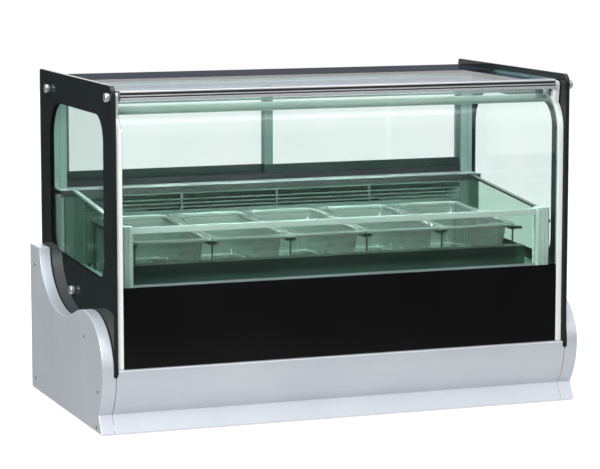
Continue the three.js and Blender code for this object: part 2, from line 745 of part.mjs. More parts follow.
function condensingUnit() {
  const centre = { x: 265, z: 118 };
  const coil = add("condenser_coil", finnedCoil(240, 44, 176, 3, 14), finMetal);
  coil.position.set(centre.x, 520, 15);
  const motor = join(
    rodY(centre.x, centre.z, 24, 400, 440, 20),
    rodY(centre.x, centre.z, 4, 400, 452, 12),
    box([centre.x - 6, centre.x + 6], [404, 416], [15, centre.z]),
    box([centre.x - 40, centre.x + 40], [396, 424], [14.6, 18]),
  );
  add("condenser_fan_motor", motor, galvanised);
  const blades = fan(26, 84, 5, 24, 4.6);
  add("condenser_fan", blades, blackPlastic).position.set(centre.x, 455, centre.z);
}

// An axial fan on the Y axis. Its socket, for the motor's shaft, opens towards -Y.
function fan(hub, tip, blades, chord, bore) {
  const pieces = [rodY(0, 0, hub, -8, 10, 20)];
  for (let i = 0; i < blades; i += 1) {
    const blade = new THREE.BoxGeometry(tip - hub + 6, 2, chord * 2);
    blade.rotateX(degrees(32));
    blade.translate((tip + hub) / 2 - 3, 0, 0);
    blade.rotateY((2 * Math.PI * i) / blades);
    pieces.push(blade);
  }
  const socket = rodY(0, 0, bore, -30, 2, 12);
  return cut(join(...pieces), socket);
}

function evaporator() {
  const coilCentre = { y: 503, bottom: 285 };
  const block = finnedCoil(560, 44, 120, 2, 14).translate(0, coilCentre.y, coilCentre.bottom);
  const route = new THREE.CatmullRomCurve3(
    [
      [-276, 505, 300],
      [-380, 505, 300],
      [-415, 505, 296],
      [-430, 505, 278],
      [-430, 505, 240],
      [-430, 500, 190],
      [-420, 460, 155],
      [-380, 380, 140],
      [-325, 325, 135],
      [-301, 304, 132],
    ].map((p) => new THREE.Vector3(...p)),
  );
  const circle = new THREE.Shape();
  circle.absarc(0, 0, 5, 0, 2 * Math.PI);
  const line = new THREE.ExtrudeGeometry(circle, { steps: 22, curveSegments: 4, extrudePath: route });
  add("evaporator_coil", join(block, line), finMetal);
  const z = 345;
  const motor = join(
    box([-50, 50], [474, 477], [z - 58, z + 58]),
    rodY(0, z, 16, 466, 475, 16),
    rodY(0, z, 3, 452, 475, 12),
  );
  add("evaporator_fan_motor", motor, galvanised);
  const blades = fan(16, 46, 5, 11, 3.6).rotateZ(Math.PI);
  add("evaporator_fan", blades, blackPlastic).position.set(0, 454, z);
}

// ---- controls ----------------------------------------------------------------------------------------

// A rocker pressed down at its lower end, pivoting about an X axis just inside the panel.
function rocker(name, x) {
  const pivotY = PANEL_Y[1];
  const outline = polygon([
    [-7, -10],
    [3.2, -12],
    [2, 0],
    [3.2, 12],
    [-7, 10],
  ]);
  const geometry = alongX(outline, -9, 9).rotateX(degrees(-8));
  add(name, geometry, blackPlastic).position.set(x, pivotY, CONTROLS.z);
}

function controls() {
  rocker("power_switch", CONTROLS.powerX);
  rocker("light_switch", CONTROLS.lightX);
  const knobProfile = [
    [0, -14],
    [3.6, -14],
    [3.6, 0],
    [17, 0],
    [16, 6.5],
    [14, 7.8],
    [0, 7.8],
  ];
  const knob = turned(knobProfile, 20).rotateX(-Math.PI / 2);
  const pointer = box([-1.4, 1.4], [6, 8.2], [2, 14]);
  add("thermostat_knob", join(knob, pointer), blackPlastic).position.set(
    CONTROLS.knobX,
    PANEL_Y[1] + 1.2,
    CONTROLS.z,
  );
  const flange = roundedRectangle(-18, 18, -15, 15, 3);
  const inlet = cut(
    join(alongY(flange, PANEL_Y[1] + GAP, PANEL_Y[1] + 3, 2), box([-13.4, 13.4], [536, 562], [-10.4, 10.4])),
    box([-11.5, 11.5], [545, 570], [-8.5, 8.5]),
  );
  const pins = [
    [-6, 0],
    [0, -3],
    [6, 0],
  ].map(([x, z]) => box([x - 1, x + 1], [544, 559], [z - 2, z + 2]));
  add("mains_inlet", join(inlet, ...pins), blackPlastic).position.set(CONTROLS.inletX, 0, CONTROLS.inletZ);
}

// ---- build -------------------------------------------------------------------------------------------

frontFascia();
baseChassis();
feet();
rearServicePanel();
insulationTub();
tankLiner();
airLouvre();
rearWorktop();
innerGuard();
pans();
panRack();
topGlass();
topFrontProfile();
frontPane();
lamp();
doorTracks();
slidingDoors();
for (const [label, side] of SIDES) {
  cheekCover("cheek_cover_" + label, side);
  sideGlass("side_glass_" + label, side);
  glassBolts(label, side);
  rearUpright("rear_upright_" + label, side);
}
compressor();
condensingUnit();
evaporator();
controls();

const group = new THREE.Group();
group.add(cabinet);

export default group;
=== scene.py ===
"""Countertop freezer showcase: its looks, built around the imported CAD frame.

Metres, +Z up. Outlines are in millimetres in the cabinet's own frame: x from the middle, y back from the
front of the toe, z up from the counter. place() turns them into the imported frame.
"""

import json
import math

import bmesh
import bpy
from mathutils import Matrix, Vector


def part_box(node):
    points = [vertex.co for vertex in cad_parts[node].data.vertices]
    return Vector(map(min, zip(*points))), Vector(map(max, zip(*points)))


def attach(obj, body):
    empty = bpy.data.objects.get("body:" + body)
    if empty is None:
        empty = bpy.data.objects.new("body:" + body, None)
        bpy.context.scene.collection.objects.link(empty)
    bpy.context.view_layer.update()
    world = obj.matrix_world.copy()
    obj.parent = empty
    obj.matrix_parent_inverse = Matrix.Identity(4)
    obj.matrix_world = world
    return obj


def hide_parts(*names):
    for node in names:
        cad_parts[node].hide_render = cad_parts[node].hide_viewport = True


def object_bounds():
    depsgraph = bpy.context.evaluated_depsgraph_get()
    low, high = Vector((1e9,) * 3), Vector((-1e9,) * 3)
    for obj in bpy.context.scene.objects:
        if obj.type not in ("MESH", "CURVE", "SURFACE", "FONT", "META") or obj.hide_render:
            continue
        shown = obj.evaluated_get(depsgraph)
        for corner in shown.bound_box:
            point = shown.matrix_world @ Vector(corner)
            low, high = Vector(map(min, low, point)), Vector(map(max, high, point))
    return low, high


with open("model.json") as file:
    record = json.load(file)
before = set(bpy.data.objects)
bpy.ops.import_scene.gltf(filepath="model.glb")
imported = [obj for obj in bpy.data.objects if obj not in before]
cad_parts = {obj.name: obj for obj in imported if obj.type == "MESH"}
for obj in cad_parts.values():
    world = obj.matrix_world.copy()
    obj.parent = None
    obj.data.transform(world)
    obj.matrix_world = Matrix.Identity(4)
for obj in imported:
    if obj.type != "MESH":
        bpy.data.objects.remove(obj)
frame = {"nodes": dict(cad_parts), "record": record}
CAD_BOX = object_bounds()

RECORD = frame["record"]
BODY_OF = {node: body for body, nodes in RECORD["behaviour"]["bodies"].items() for node in nodes}
SLOT_OF = {part["node"]: part["material_slot"] for part in RECORD["subparts"]}
SIDES = (("left", -1), ("right", 1))

# ---- driving dimensions, in millimetres, as in the CAD model ---------------------------------------------

MM = 0.001
FRONT_BULGE = -12.4  # foremost point of the cheeks and the fascia
TOE_Y = CAD_BOX[0].y - FRONT_BULGE * MM
CHEEK_REAR = 569.7
CHEEK_FACE = 544.4  # outside face of the cheeks, under the screw heads
GLASS = {"inner": 509.5, "outer": 518.5, "front": -9.5, "rear": 564, "bottom": 125, "top": 727}
SEAM = 514.5  # where each cheek meets the fascia, under the side glass
GAP = 0.4  # clearance between neighbouring pieces
INSIDE = GLASS["inner"] - GAP
BULGE = {"y": 125, "z": 136, "depth": 137.4, "rise": 110, "drop": 146}
SCREWS = ((532, 288), (537, 28), (128, 190), (25, 90), (37, 12.5))  # on each cheek, as (y, z)
CHEEK = {"rear_top": 331.4, "back_rise": 488.5, "valley_y": 305, "valley_z": 209, "skirt": 3}
NECK_Y = 20.7  # the fascia's neck, between its bulge and its toe
SHEET = 2  # thickness of painted sheet
LIP = {"rear": 8, "radius": 2.4, "toe_rear": 26}  # the fascia's turned-in edges
PANE = {"front": -2.6, "bottom": 138.6, "bend_z": 607.8, "radius": 72, "turn": 68.2, "tail": 35, "thick": 5}
TRIM = {"inner": 495.4, "outer": 508.5, "proud": 0.8, "thick": 8}
PIVOT = {"y": 25, "z": 702, "eye": 8.6, "stud": 4}
PRINT_TOP = 308  # top of the front pane's black band
PROFILE = {"front": 10, "rear": 40.5, "bottom": 693.5, "top": 714.5, "deep": 3}
GROOVES = ((700.2, 703.3), (705.6, 710.8))  # foot and head of each groove in the top profile
DOOR_RAIL_TOP = 499.5  # top of the doors' lower rails
CHAMBER = {"front": 434, "inner": 468, "outer": 506.9, "foot": 300, "top": 449}  # behind the tank
BUMPER = {"x": 494, "y": 42, "heights": (322, 399)}
WINDOW = {"front": 57, "rear": 480, "low": 317, "rise": 14, "top": 661}
CORNERS = {"low": 42, "rear": 80, "front": 55}  # radii of the window's corners
ROOF = {"front": 41, "rear": 553, "bottom": 708, "top": 714, "band": 354}
RACK = {"y": 95, "z": 390, "tilt": math.radians(2.7)}  # its top's front edge, and how far it rises back
PAN = {"count": 5, "pitch": 177.7, "width": 176, "length": 325, "depth": 100, "wall": 3, "rim": 12}
BOLTS = {"front": (5, 702.6), "rear": (479, 688.2), "lower": (292, 264)}  # on each side glass, as (y, z)


def place(x, y, z):
    """A point of the cabinet's own frame, in millimetres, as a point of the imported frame, in metres."""
    return Vector((x * MM, TOE_Y + y * MM, z * MM))


# ---- materials -------------------------------------------------------------------------------------------


def srgb(red, green, blue):
    """A colour given as 0 to 255 values, as the linear colour that shaders take."""
    shares = [level / 255 for level in (red, green, blue)]
    linear = [c / 12.92 if c <= 0.04045 else ((c + 0.055) / 1.055) ** 2.4 for c in shares]
    return (*linear, 1)


class Nodes:
    """A new material's node tree, with short ways to add and join its nodes."""

    def __init__(self, name):
        self.material = bpy.data.materials.new(name)
        self.material.use_nodes = True
        self.tree = self.material.node_tree
        self.tree.nodes.clear()
        self.output = self.add("ShaderNodeOutputMaterial")

    def add(self, kind, **settings):
        node = self.tree.nodes.new(kind)
        for key, value in settings.items():
            setattr(node, key, value)
        return node

    def join(self, source, target):
        self.tree.links.new(source, target)

    def grain(self, scale, stretch=(1, 1, 1), detail=4):
        """A noise pattern fixed to the piece, from 0 to 1."""
        coordinates = self.add("ShaderNodeTexCoord")
        mapping = self.add("ShaderNodeMapping")
        mapping.inputs["Scale"].default_value = stretch
        noise = self.add("ShaderNodeTexNoise")
        noise.inputs["Scale"].default_value = scale
        noise.inputs["Detail"].default_value = detail
        self.join(coordinates.outputs["Object"], mapping.inputs["Vector"])
        self.join(mapping.outputs["Vector"], noise.inputs["Vector"])
        return noise.outputs["Fac"]

    def ranged(self, value, low, high):
        """The value from 0.3 to 0.7, where most of a noise pattern lies, spread from low to high."""
        node = self.add("ShaderNodeMapRange")
        node.inputs["From Min"].default_value = 0.3
        node.inputs["From Max"].default_value = 0.7
        node.inputs["To Min"].default_value = low
        node.inputs["To Max"].default_value = high
        self.join(value, node.inputs["Value"])
        return node.outputs["Result"]

    def colours(self, factor, first, second):
        node = self.add("ShaderNodeMix", data_type="RGBA")
        node.inputs["A"].default_value = first
        node.inputs["B"].default_value = second
        self.join(factor, node.inputs["Factor"])
        return node.outputs["Result"]

    def bump(self, height, depth):
        node = self.add("ShaderNodeBump")
        node.inputs["Strength"].default_value = 1
        node.inputs["Distance"].default_value = depth
        self.join(height, node.inputs["Height"])
        return node.outputs["Normal"]

    def principled(self, **fixed):
        node = self.add("ShaderNodeBsdfPrincipled")
        for key, value in fixed.items():
            node.inputs[key.replace("_", " ")].default_value = value
        return node


def opaque(name, first, second, rough, scale=900, stretch=(1, 1, 1), depth=0.0, cloud=6, **fixed):
    """A painted, plastic or metal surface: fine grain in roughness and height, slow drift in colour."""
    nodes = Nodes(name)
    shader = nodes.principled(**fixed)
    fine = nodes.grain(scale, stretch)
    slow = nodes.grain(cloud, detail=2)
    nodes.join(nodes.colours(nodes.ranged(slow, 0, 1), first, second), shader.inputs["Base Color"])
    nodes.join(nodes.ranged(fine, *rough), shader.inputs["Roughness"])
    if depth:
        nodes.join(nodes.bump(fine, depth), shader.inputs["Normal"])
    nodes.join(shader.outputs["BSDF"], nodes.output.inputs["Surface"])
    return nodes.material


MIRRORED_HEAD_ON = 0.04  # the share of light that glass mirrors when looked at squarely


def see_through(name, tint, second_tint, most=1.0, haze=0.015, milk=0.0):
    """A pane or thin wall: it passes light with a faint tint and mirrors more of it, up to most, at a flat
    angle. milk is the share of a soft opaque body in it, 1 for a print.
    """
    nodes = Nodes(name)
    clear = nodes.add("ShaderNodeBsdfTransparent")
    soft = nodes.add("ShaderNodeBsdfDiffuse")
    body = nodes.add("ShaderNodeMixShader")
    body.inputs["Fac"].default_value = milk
    mirror = nodes.add("ShaderNodeBsdfGlossy")
    angle = nodes.add("ShaderNodeLayerWeight")
    angle.inputs["Blend"].default_value = 0.5
    rise = nodes.add("ShaderNodeMath", operation="POWER")
    rise.inputs[1].default_value = 5
    share = nodes.add("ShaderNodeMapRange")
    share.inputs["To Min"].default_value = MIRRORED_HEAD_ON
    share.inputs["To Max"].default_value = most
    nodes.join(angle.outputs["Facing"], rise.inputs[0])
    nodes.join(rise.outputs["Value"], share.inputs["Value"])
    mix = nodes.add("ShaderNodeMixShader")
    slow = nodes.grain(5, detail=2)
    colour = nodes.colours(nodes.ranged(slow, 0, 1), tint, second_tint)
    for shader, slot in ((clear, 1), (soft, 2)):
        nodes.join(colour, shader.inputs["Color"])
        nodes.join(shader.outputs["BSDF"], body.inputs[slot])
    nodes.join(nodes.ranged(slow, 0, haze), mirror.inputs["Roughness"])
    nodes.join(share.outputs["Result"], mix.inputs["Fac"])
    nodes.join(body.outputs["Shader"], mix.inputs[1])
    nodes.join(mirror.outputs["BSDF"], mix.inputs[2])
    nodes.join(mix.outputs["Shader"], nodes.output.inputs["Surface"])
    return nodes.material


SILVER = opaque("silver_paint", srgb(206, 212, 220), srgb(214, 219, 226), (0.34, 0.46), scale=2600,
                depth=0.00002, Metallic=0.5, Coat_Weight=0.12, Coat_Roughness=0.25)
BLACK_PRINT = opaque("black_glass_print", srgb(10, 10, 11), srgb(14, 14, 15), (0.02, 0.05), scale=60,
                     IOR=1.5, Specular_IOR_Level=0.5)
SIDE_PRINT = see_through("side_glass_print", srgb(32, 36, 37), srgb(36, 41, 42), most=0.3, haze=0.06, milk=1)
ROOF_PRINT = see_through("roof_glass_print", srgb(36, 42, 52), srgb(41, 47, 57), most=0.06, haze=0.1, milk=1)
DARK_EDGE = opaque("dark_glass_edge", srgb(26, 31, 32), srgb(36, 41, 42), (0.06, 0.14), scale=500,
                   depth=0.00001)
GREEN_EDGE = opaque("green_glass_edge", srgb(96, 140, 126), srgb(126, 170, 156), (0.12, 0.3), scale=300,
                    Transmission_Weight=0.35)
ALUMINIUM = opaque("satin_aluminium", srgb(200, 203, 206), srgb(210, 213, 215), (0.28, 0.4), scale=500,
                   stretch=(1, 12, 12), depth=0.000012, Metallic=0.92)
# The mint aluminium below comes in lit and shaded copies of one metal: their levels are painted light and
# shade, and their mint is the green glass's tint painted in.
INNER_METAL = opaque("mint_lit_aluminium", srgb(160, 186, 177), srgb(172, 197, 188), (0.24, 0.36), scale=420,
                     stretch=(10, 10, 1), depth=0.000015, Metallic=0.45)
# Painted shade: the darkest copy of the mint aluminium.
SHADED_MINT_METAL = opaque("shaded_aluminium", srgb(88, 106, 100), srgb(100, 118, 112), (0.24, 0.36), scale=420,
                    stretch=(10, 10, 1), depth=0.000015, Metallic=0.45)
# Painted light: the brightest copy of the mint aluminium.
BRIGHT_LIT_METAL = opaque("brightly_lit_mint_aluminium", srgb(190, 212, 204), srgb(200, 221, 213), (0.28, 0.4), scale=420,
                    stretch=(10, 10, 1), depth=0.000015, Metallic=0.25)
# Painted highlight: a paler copy of the brushed steel, for faces that look up.
HIGHLIT_STEEL = opaque("highlit_brushed_steel", srgb(212, 224, 220), srgb(222, 233, 229), (0.26, 0.4), scale=420,
                    stretch=(0.6, 14, 14), depth=0.00002, Metallic=0.45)
# Painted shade: a dark copy of brushed steel, for the rack, the right side rail and the doors' lower rails.
SHADED_STEEL = opaque("dark_brushed_steel", srgb(70, 86, 80), srgb(80, 96, 90), (0.24, 0.36), scale=420,
               stretch=(0.6, 12, 12), depth=0.00002, Metallic=0.85)
# Painted shade: a dimmer copy of the mint aluminium.
DIM_LIT_METAL = opaque("dim_lit_mint_aluminium", srgb(134, 158, 150), srgb(146, 170, 162), (0.24, 0.36), scale=420,
                       stretch=(10, 10, 1), depth=0.000015, Metallic=0.45)
BRIGHT_TRIM = opaque("pale_satin_trim", srgb(238, 240, 238), srgb(244, 246, 243), (0.22, 0.34), scale=500,
                     stretch=(8, 8, 1), depth=0.00001, Metallic=0.2)
PROFILE_METAL = opaque("ribbed_aluminium", srgb(190, 192, 194), srgb(202, 204, 206), (0.2, 0.3), scale=500,
                       stretch=(1, 8, 8), depth=0.00001, Metallic=0.5)
PROFILE_TOP = opaque("shaded_aluminium_top", srgb(116, 124, 130), srgb(128, 136, 142), (0.5, 0.62), scale=500,
                     stretch=(1, 8, 8), depth=0.00001)
STAINLESS = opaque("brushed_stainless", srgb(165, 172, 169), srgb(180, 186, 183), (0.2, 0.36), scale=420,
                   stretch=(0.6, 14, 14), depth=0.00002, Metallic=1.0)
DARK_SCREW = opaque("blackened_screw", srgb(40, 41, 43), srgb(52, 53, 55), (0.3, 0.45), scale=600,
                    Metallic=0.6)
BLACK_PLASTIC = opaque("black_plastic", srgb(26, 27, 28), srgb(34, 35, 36), (0.4, 0.58), scale=1400,
                       depth=0.00004)
RUBBER = opaque("black_rubber", srgb(24, 24, 25), srgb(32, 32, 33), (0.7, 0.88), scale=900, depth=0.00008)
FOAM = opaque("rigid_foam", srgb(226, 214, 176), srgb(240, 230, 198), (0.8, 0.95), scale=260, depth=0.0006)
GALVANISED = opaque("galvanised_sheet", srgb(140, 146, 150), srgb(176, 181, 184), (0.3, 0.5), scale=120,
                    depth=0.00002, cloud=60, Metallic=0.9)
ENAMEL = opaque("black_enamel", srgb(18, 19, 21), srgb(26, 27, 29), (0.2, 0.35), scale=300, depth=0.00005)
FINS = opaque("rolled_fins", srgb(176, 180, 183), srgb(196, 200, 202), (0.35, 0.5), scale=900,
              stretch=(6, 1, 1), depth=0.0002, Metallic=0.9)
# Painted shade: fins made dark so the louvre's gaps look dark.
DARK_FINS = opaque("shade_dark_fins", srgb(34, 40, 38), srgb(46, 52, 50), (0.4, 0.6), scale=900,
                   stretch=(6, 1, 1), depth=0.0002)
BOLT_STEEL = opaque("satin_bolt", srgb(176, 180, 180), srgb(196, 200, 200), (0.2, 0.4), scale=700,
                    depth=0.00005, Metallic=0.85)
LAMP = opaque("opal_diffuser", srgb(238, 242, 238), srgb(246, 249, 246), (0.3, 0.45), scale=600,
              Emission_Color=(0.9, 1, 0.96, 1), Emission_Strength=1.0)
CLEAR_GLASS = see_through("clear_glass", srgb(251, 254, 253), srgb(253, 255, 254))
SIDE_CLEAR = see_through("side_clear_glass", srgb(245, 251, 249), srgb(248, 252, 251), most=0.4)
ROOF_CLEAR = see_through("roof_clear_glass", srgb(224, 232, 246), srgb(228, 236, 249), most=0.5)
GREEN_GLASS = see_through("inner_glass", srgb(246, 251, 249), srgb(248, 252, 251))
GUARD_GLASS = see_through("guard_glass", srgb(230, 244, 238), srgb(236, 247, 242), most=0.6)
POLYCARBONATE = see_through("clear_polycarbonate", srgb(244, 251, 248), srgb(248, 253, 250), haze=0.06,
                            milk=0.045)
# Milkier than the walls: partly the thicker rolled plastic, partly a painted highlight along the pans' edges.
RIM_PLASTIC = see_through("clear_rolled_edge", srgb(232, 246, 240), srgb(240, 252, 246), haze=0.1, milk=0.3)

# What finished() gives a node of each slot when no material is named.
FINISH = {
    "silver_paint": SILVER, "black_plastic": BLACK_PLASTIC, "galvanised": GALVANISED, "black_enamel": ENAMEL,
    "coil_metal": FINS, "lamp_white": LAMP,
}

# ---- mesh helpers ----------------------------------------------------------------------------------------

SHARP = math.radians(32)  # edges bent by more than this are sharp
FULL_FACE_WEIGHT = 100  # a corner takes its normal from its larger faces


def show(name, bm, materials, stands_for=(), body="cabinet", bevel=0.0, segments=2, thickness=0.0):
    """Makes bm a piece, on the body of the CAD node that it stands for, if any, and hides the nodes it stands
    for.
    """
    mesh = bpy.data.meshes.new(name)
    bmesh.ops.recalc_face_normals(bm, faces=bm.faces)
    bm.to_mesh(mesh)
    bm.free()
    piece = bpy.data.objects.new(name, mesh)
    bpy.context.scene.collection.objects.link(piece)
    for material in materials:
        mesh.materials.append(material)
    mesh.shade_smooth()
    if thickness:
        solidify = piece.modifiers.new("thickness", "SOLIDIFY")
        solidify.thickness = thickness * MM
        solidify.offset = -1
        solidify.use_even_offset = True
    if bevel:
        rounding = piece.modifiers.new("rounding", "BEVEL")
        rounding.width = bevel * MM
        rounding.segments = segments
        rounding.limit_method = "ANGLE"
        rounding.angle_limit = SHARP
        rounding.harden_normals = True
        levelling = piece.modifiers.new("flat_faces", "WEIGHTED_NORMAL")
        levelling.weight = FULL_FACE_WEIGHT
        levelling.keep_sharp = True
    else:
        mesh.set_sharp_from_angle(angle=SHARP)
    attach(piece, BODY_OF[stands_for[0]] if stands_for else body)
    if stands_for:
        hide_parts(*stands_for)


def whole(node):
    """A CAD node's mesh with its split corners joined and its flat faces made whole."""
    bm = bmesh.new()
    bm.from_mesh(frame["nodes"][node].data)
    bmesh.ops.remove_doubles(bm, verts=bm.verts, dist=0.02 * MM)
    nearly_flat = math.radians(0.5)
    bmesh.ops.dissolve_limit(bm, angle_limit=nearly_flat, verts=bm.verts, edges=bm.edges)
    for face in bm.faces:
        face.material_index = 0
    return bm


def finished(node, material=None, bevel=0.5, segments=2):
    """A CAD node's own shape with rounded edges and a real material."""
    material = material or FINISH[SLOT_OF[node]]
    show(node + "_finish", whole(node), [material], [node], bevel=bevel, segments=segments)


def two_tone(node, first, second, takes_second, cut=None):
    """A CAD node's own shape in two materials. takes_second says which faces get the second, once the faces
    that cross the height cut are split there.
    """
    bm = whole(node)
    if cut:
        everything = [*bm.verts, *bm.edges, *bm.faces]
        bmesh.ops.bisect_plane(bm, geom=everything, plane_co=(0, 0, cut * MM), plane_no=(0, 0, 1))
    bm.normal_update()
    for face in bm.faces:
        face.material_index = int(takes_second(face))
    show(node + "_finish", bm, [first, second], [node], bevel=0.35)


def arc(y, z, ry, rz, start, end, steps):
    """Points of an ellipse's arc in the (y, z) plane, with angles in degrees."""
    turns = [math.radians(start + (end - start) * i / steps) for i in range(steps + 1)]
    return [(y + ry * math.cos(t), z + rz * math.sin(t)) for t in turns]


def curve(points, steps):
    """Points of the cubic curve with these four control points."""
    found = []
    for i in range(steps + 1):
        t = i / steps
        weights = [(1 - t) ** 3, 3 * t * (1 - t) ** 2, 3 * t * t * (1 - t), t ** 3]
        found.append(tuple(sum(w * p[k] for w, p in zip(weights, points)) for k in (0, 1)))
    return found


def rounded(a0, a1, b0, b1, radius, steps=10):
    """A rounded rectangle's outline, anticlockwise."""
    corners = [(a1 - radius, b0 + radius, -90), (a1 - radius, b1 - radius, 0),
               (a0 + radius, b1 - radius, 90), (a0 + radius, b0 + radius, 180)]
    return [p for a, b, start in corners for p in arc(a, b, radius, radius, start, start + 90, steps)]


def apart(points):
    """The points of a closed outline without repeats."""
    least = 0.02
    return [p for i, p in enumerate(points) if math.dist(p, points[i - 1]) > least]


def inset(points, distance):
    """A closed anticlockwise outline moved inwards by a distance."""
    moved = []
    for i, point in enumerate(points):
        before, after = points[i - 1], points[(i + 1) % len(points)]
        a = Vector((point[0] - before[0], point[1] - before[1])).normalized()
        b = Vector((after[0] - point[0], after[1] - point[1])).normalized()
        normal = Vector((-a.y - b.y, a.x + b.x)).normalized()
        reach = distance / max(normal.x * -a.y + normal.y * a.x, 0.3)
        moved.append((point[0] + normal.x * reach, point[1] + normal.y * reach))
    return moved


def bridge(bm, first, second, material=0, closed=True):
    """Faces between two rings of as many vertices."""
    count = len(first)
    for i in range(count if closed else count - 1):
        j = (i + 1) % count
        face = bm.faces.new((first[i], first[j], second[j], second[i]))
        face.material_index = material


def stack(bm, rings, materials=None, caps=(True, True)):
    """One body through rings of as many points. materials gives one index for each band between rings."""
    made = [[bm.verts.new(p) for p in ring] for ring in rings]
    for k, (first, second) in enumerate(zip(made, made[1:])):
        bridge(bm, first, second, materials[k] if materials else 0)
    if caps[0]:
        bm.faces.new(made[0])
    if caps[1]:
        bm.faces.new(made[-1])
    return made


def prism_x(bm, outline, x0, x1, material=0):
    """A (y, z) outline carried from x0 to x1."""
    made = stack(bm, [[place(x, y, z) for y, z in outline] for x in (x0, x1)])
    for ring in made:
        for vertex in ring:
            for face in vertex.link_faces:
                face.material_index = material


def turned(bm, profile, centre, axis, steps=48):
    """A profile of (radius, height) points turned about an axis through centre, with flat ends."""
    axis = Vector(axis)
    across = axis.orthogonal().normalized()
    other = axis.cross(across)
    turns = [2 * math.pi * i / steps for i in range(steps)]
    spokes = [across * math.cos(t) + other * math.sin(t) for t in turns]
    stack(bm, [[centre + axis * height * MM + spoke * radius * MM for spoke in spokes]
               for radius, height in profile])


def span(side, inner, outer):
    """The two x of something on a side, the smaller first."""
    return (inner, outer) if side > 0 else (-outer, -inner)


# ---- painted base ----------------------------------------------------------------------------------------


# How far round the bulge its neck lies, in degrees from its foremost point.
NECK_TURN = math.degrees(math.acos((BULGE["y"] - NECK_Y) / BULGE["depth"]))


def lower_bulge(start, end, steps):
    """Part of the bulge's lower half, between two turns from its foremost point."""
    return arc(BULGE["y"], BULGE["z"], BULGE["depth"], BULGE["drop"], 180 + start, 180 + end, steps)


def cheek_outline():
    """The cheek seen from its side, from its low rear corner over the top and down the front."""
    c = CHEEK
    crest = BULGE["z"] + BULGE["rise"]
    drop = c["rear_top"] - c["valley_z"]
    points = [(CHEEK_REAR, c["skirt"]), (CHEEK_REAR, c["rear_top"])]
    points += arc(c["valley_y"], c["rear_top"], c["back_rise"] - c["valley_y"], drop, 0, -90, 36)
    climb = [(c["valley_y"], c["valley_z"]), (c["valley_y"] - 70, c["valley_z"]),
             (BULGE["y"] + 60, crest), (BULGE["y"], crest)]
    points += curve(climb, 30)
    points += arc(BULGE["y"], BULGE["z"], BULGE["depth"], BULGE["rise"], 90, 180, 40)
    return apart(points + lower_bulge(0, NECK_TURN, 28) + [(0, c["skirt"])])


def cheek_cover(label, side):
    """A pressed cover: an outside plate with a flange in to the side glass, or to the fascia below it."""
    outline = cheek_outline()
    flange = [GLASS["outer"] + 1.4 if z > GLASS["bottom"] - GAP else SEAM for _, z in outline]
    bm = bmesh.new()
    plate = [place(side * CHEEK_FACE, y, z) for y, z in outline]
    stack(bm, [plate, [place(side * x, y, z) for x, (y, z) in zip(flange, outline)]], caps=(True, False))
    show("cheek_shell_" + label, bm, [SILVER], ["cheek_cover_" + label], bevel=1.1, segments=3,
         thickness=SHEET)


def cheek_gasket(label, side):
    """The dark strip that fills the line between a cheek's flange and the side glass."""
    below_edge, thick = 0.9, 0.8
    outline = [p for p in inset(cheek_outline(), below_edge) if p[1] > GLASS["bottom"]]
    inner, outer = GLASS["outer"] + 0.1, GLASS["outer"] + 2
    bm = bmesh.new()
    rows = [[bm.verts.new(place(side * x, y, z)) for y, z in outline] for x in (inner, outer)]
    bridge(bm, *rows, closed=False)
    show("cheek_gasket_" + label, bm, [RUBBER], thickness=thick)


def cheek_screws(label, side):
    """Five small pan-head screws that hold each cheek cover."""
    shank, head = [(1.2, -6), (1.2, 0.05)], [(3.4, 0.05), (3.6, 0.25), (2.6, 0.55), (1.3, 0.6)]
    recess = [(1.1, 0.15), (0.5, 0.1)]
    bm = bmesh.new()
    for y, z in SCREWS:
        turned(bm, shank + head + recess, place(side * CHEEK_FACE, y, z), (side, 0, 0), 24)
    show("cheek_screws_" + label, bm, [DARK_SCREW])


def front_fascia():
    """The folded front sheet. Beside the side glasses it starts below them."""
    half = SEAM - 1
    turn = LIP["radius"]
    lip = [(LIP["rear"], BULGE["z"] + SHEET), (FRONT_BULGE + turn, BULGE["z"] + SHEET)]
    edge = arc(FRONT_BULGE + turn, BULGE["z"] + SHEET - turn, turn, turn, 90, 180, 4)[1:]
    below = math.degrees(math.asin((BULGE["z"] - GLASS["bottom"] + GAP) / BULGE["drop"]))
    high = lower_bulge(0, below, 4)[1:]
    low = lower_bulge(below, NECK_TURN, 32)[1:]
    profile = lip + edge + high + low + [(0, CHEEK["skirt"]), (LIP["toe_rear"], CHEEK["skirt"])]
    start = len(lip + edge + high) - 1
    bm = bmesh.new()
    grid = [[bm.verts.new(place(x, y, z)) for y, z in profile] for x in (-half, -INSIDE, INSIDE, half)]
    for i, (first, second) in enumerate(zip(grid, grid[1:])):
        skipped = 0 if i == 1 else start
        bridge(bm, first[skipped:], second[skipped:], closed=False)
    loose = [v for v in bm.verts if not v.link_faces]
    bmesh.ops.delete(bm, geom=loose, context="VERTS")
    show("fascia_sheet", bm, [SILVER], ["front_fascia"], bevel=0.8, thickness=SHEET)


def feet():
    """Four turned rubber feet."""
    profile = [(9, 0.2), (12.5, 0), (14, 0.4), (17, 3), (17, 9), (15.5, 10.6), (11, 11.6), (4, 11.6)]
    for row in ("front", "rear"):
        for label, side in SIDES:
            node = "foot_" + row + "_" + label
            low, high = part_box(node)
            bm = bmesh.new()
            turned(bm, profile, Vector(((low.x + high.x) / 2, (low.y + high.y) / 2, 0)), (0, 0, 1))
            show(node + "_pad", bm, [RUBBER], [node])


# ---- glass superstructure --------------------------------------------------------------------------------


def side_window():
    """The clear window in a side glass's black print, anticlockwise from its low front corner."""
    w = WINDOW
    low, rear, front = CORNERS["low"], CORNERS["rear"], CORNERS["front"]
    slope = math.degrees(math.atan(w["rise"] / (w["rear"] - w["front"])))
    points = arc(w["front"] + low, w["low"] + low, low, low, 180, 270 + slope, 10)
    points += arc(w["rear"] - low, w["low"] + w["rise"] + low, low, low, 270 + slope, 360, 10)
    points += arc(w["rear"] - rear, w["top"] - rear, rear, rear, 0, 90, 14)
    points += arc(w["front"] + front, w["top"] - front, front, front, 90, 180, 12)
    return apart(points)


